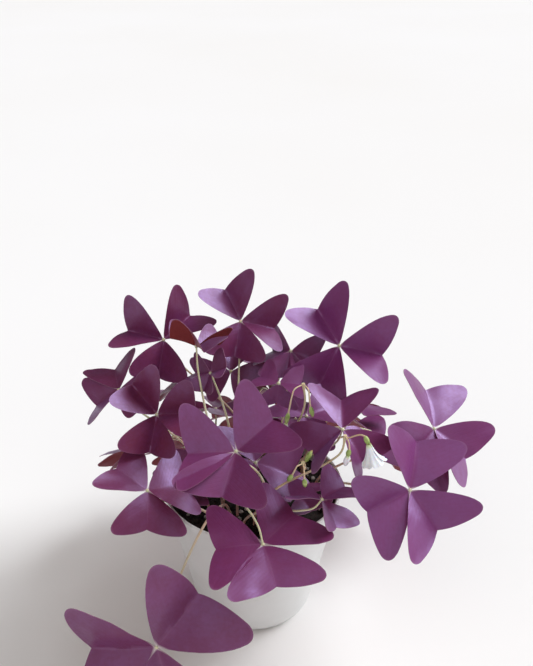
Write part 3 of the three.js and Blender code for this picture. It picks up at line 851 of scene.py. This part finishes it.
def flower_axis(node_name, calyx_tip):
    """Where the CAD petals start, which way they point and how long and wide they are."""
    solid = read_solid(node_name)
    ends = [v for v in solid.verts if len(v.link_edges) >= FAN_EDGES]
    ends.sort(key=lambda v: (v.co - calyx_tip).length)
    start = ends[0].co.copy()
    axis = (ends[-1].co - start).normalized()
    along = [(v.co - start).dot(axis) for v in solid.verts]
    out = [((v.co - start) - axis * a).length for v, a in zip(solid.verts, along)]
    solid.free()
    return start, axis, max(along), max(out)


def bud_piece(node_name, calyx_tip, finishes):
    """The twisted furl of a bud's petals."""
    _, axis, length, width = flower_axis(node_name, calyx_tip)
    start = calyx_tip - axis * PETAL_LAP
    line = [start + axis * (length + PETAL_LAP) * i / (BUD_RINGS - 1) for i in range(BUD_RINGS)]

    def radius_at(run, angle):
        swell = math.sin(math.pi * min(1, 0.12 + 0.88 * run)) ** 0.6 if run < 1 else 0
        furl = 1 + FURL_DEPTH * ((PETALS * (angle + FURL_TWIST * run) / (2 * math.pi)) % 1 - 0.5)
        return 0.9 * width * swell * furl

    points, faces = swept(line, radius_at, BUD_SIDES)
    values = {"run": runs_of(points, BUD_SIDES, BUD_RINGS)}
    return piece(node_name + "_furl", points, faces, finishes, values=values, crease=70)


def open_flower_piece(node_name, calyx_tip, finishes):
    """Five closed petals round the flower's axis, each over the next on one side."""
    start, axis, length, width = flower_axis(node_name, calyx_tip)
    side = axis.orthogonal().normalized()
    other = axis.cross(side)
    width_count = PETAL_COLUMNS + 1
    skin_count = (PETAL_ROWS + 1) * width_count
    points, faces, runs = [], [], []
    for petal in range(PETALS):
        middle = 2 * math.pi * petal / PETALS
        first = len(points)

        def corner(skin, i, j):
            return first + skin * skin_count + i * width_count + j

        for skin in (0, 1):
            for i in range(PETAL_ROWS + 1):
                for j in range(PETAL_COLUMNS + 1):
                    run, across = i / PETAL_ROWS, 2 * j / PETAL_COLUMNS - 1
                    reach = run * (1 - 0.13 * across ** 6 - 0.03 * math.exp(-(across / 0.25) ** 2))
                    flare = THROAT + CONE * reach + FLARE * reach ** 3
                    wave = PETAL_WAVE * reach * math.sin(7 * across + petal * 2.1)
                    lap = PETAL_OVERLAP * across * (0.6 + reach)
                    radius = width * (flare + wave + lap) + skin * PETAL_THICKNESS
                    angle = middle + across * PETAL_HALF_ANGLE * (1 - 0.25 * reach ** 4)
                    at = start + axis * (length * reach - PETAL_LAP)
                    points.append(at + (side * math.cos(angle) + other * math.sin(angle)) * radius)
                    runs.append(run)
        for i in range(PETAL_ROWS):
            for j in range(PETAL_COLUMNS):
                for skin in (0, 1):
                    faces.append((corner(skin, i, j), corner(skin, i, j + 1),
                                  corner(skin, i + 1, j + 1), corner(skin, i + 1, j)))
        rim = [(i, 0) for i in range(PETAL_ROWS)] + [(PETAL_ROWS, j) for j in range(PETAL_COLUMNS)]
        rim += [(i, PETAL_COLUMNS) for i in range(PETAL_ROWS, 0, -1)]
        rim += [(0, j) for j in range(PETAL_COLUMNS, 0, -1)]
        for a, b in zip(rim, rim[1:] + rim[:1]):
            faces.append((corner(0, *a), corner(0, *b), corner(1, *b), corner(1, *a)))
    return piece(node_name + "_corolla", points, faces, finishes, values={"run": runs}, crease=70)


petal_finishes = [petal_finish()]
for petal_name in sorted(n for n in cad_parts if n.endswith("_petals")):
    tip = calyx_tips[petal_name.removesuffix("_petals")]
    widest = max(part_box(petal_name)[1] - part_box(petal_name)[0])
    make = open_flower_piece if widest > OPEN_FLOWER_WIDTH else bud_piece
    stands_for(make(petal_name, tip, petal_finishes), petal_name)


# ---------------------------------------------------------------- stage, light and camera
# A plain pale floor under soft daylight: a broad cool window high on the right and a little
# behind, a weak warm fill from the front, and an even pale sky.
FLOOR_HALF = 8.0
FLOOR_PALE, FLOOR_WARM = "#f4f3f2", "#f1efec"
CAMERA_AT, CAMERA_DOWN = (0.0091, -0.4882, 0.4657), 27.41
CAMERA_LENS = 60.4
SKY_LIGHT, SKY_SEEN = 0.16, 0.86    # the studio is dim round the plant, and pale behind it


def floor_finish():
    material, tree, shader = finish_of("pale_floor")
    broad, fine = unevenness(tree, 0.8, 40.0)
    tree.links.new(blended(tree, broad, FLOOR_PALE, FLOOR_WARM), shader.inputs["Base Color"])
    shader.inputs["Roughness"].default_value = 0.9
    shader.inputs["Specular IOR Level"].default_value = 0.1
    return material


def soft_sun(name, comes_from, width, power, colour):
    """Light from a broad patch of sky that width degrees across."""
    lamp = bpy.data.lights.new(name, "SUN")
    lamp.angle, lamp.energy, lamp.color = math.radians(width), power, colour
    obj = bpy.data.objects.new(name, lamp)
    obj.rotation_euler = Vector(comes_from).to_track_quat("Z", "Y").to_euler()
    bpy.context.scene.collection.objects.link(obj)


corners = [(-FLOOR_HALF, -FLOOR_HALF, 0), (FLOOR_HALF, -FLOOR_HALF, 0),
           (FLOOR_HALF, FLOOR_HALF, 0), (-FLOOR_HALF, FLOOR_HALF, 0)]
floor = piece("floor", corners, [(0, 1, 2, 3)], [floor_finish()])

soft_sun("window", (0.72, 0.32, 0.62), 42, 3.6, (0.93, 0.96, 1.0))
soft_sun("front_fill", (-0.15, -0.70, 0.75), 80, 1.15, (1.0, 0.96, 0.95))

world = bpy.data.worlds.new("pale_sky")
world.use_nodes = True
sky = world.node_tree.nodes["Background"]
sky.inputs["Color"].default_value = (1.0, 0.95, 0.93, 1)
seen = node(world.node_tree, "LightPath").outputs["Is Camera Ray"]
world.node_tree.links.new(spread(world.node_tree, seen, 0, 1, SKY_LIGHT, SKY_SEEN), sky.inputs["Strength"])
bpy.context.scene.world = world
bpy.context.scene.view_settings.view_transform = "Standard"

lens = bpy.data.cameras.new("camera")
lens.lens, lens.sensor_width, lens.sensor_fit = CAMERA_LENS, 36, "HORIZONTAL"
lens.clip_start, lens.clip_end = 0.02, 60
camera = bpy.data.objects.new("camera", lens)
camera.location = CAMERA_AT
camera.rotation_euler = (math.radians(90 - CAMERA_DOWN), 0, 0)
bpy.context.scene.collection.objects.link(camera)
bpy.context.scene.camera = camera
